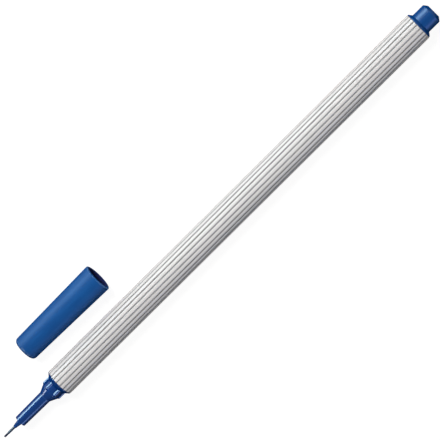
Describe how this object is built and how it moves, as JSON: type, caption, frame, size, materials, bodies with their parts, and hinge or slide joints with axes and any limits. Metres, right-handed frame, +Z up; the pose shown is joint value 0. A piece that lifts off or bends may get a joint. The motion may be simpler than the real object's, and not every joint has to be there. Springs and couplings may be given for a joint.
{
  "type": "fineliner pen",
  "caption": "Ribbed fineliner pen with a slim stepped nose, needle tip and end plug, its tapered cap off and lying beside the barrel.",
  "frame": {"origin": "on the table under the middle of the space that the pen and its cap take up together", "axes": "+X along the pen's axis from nib to end plug, +Y from the pen to the cap, +Z up from the table"},
  "size_m": [0.1562, 0.0204, 0.0081],
  "materials": {
    "barrel_plastic": "satin off-white moulded plastic with grey grooves",
    "nose_plastic": "glossy dark blue moulded plastic",
    "cap_plastic": "satin blue moulded plastic",
    "seal_plastic": "soft dark blue plastic",
    "steel": "drawn thin steel tube",
    "nib_plastic": "hard plastic point stained with blue ink",
    "fibre": "bonded fibre soaked with blue ink",
    "film": "thin clear film"
  },
  "bodies": {
    "pen": {"barrel": "barrel_plastic", "nose_section": "nose_plastic", "tip_holder": "nose_plastic", "tip_sleeve": "steel", "nib": "nib_plastic", "feed_wick": "fibre", "ink_reservoir": "fibre", "reservoir_film": "film", "end_plug": "nose_plastic"},
    "cap": {"cap_shell": "cap_plastic", "cap_seal": "seal_plastic"}
  },
  "joints": [
    {"name": "cap_pull", "type": "slide", "parent": "pen", "child": "cap", "axis": [-1, 0, 0], "range_m": [0, 0.0494]}
  ]
}
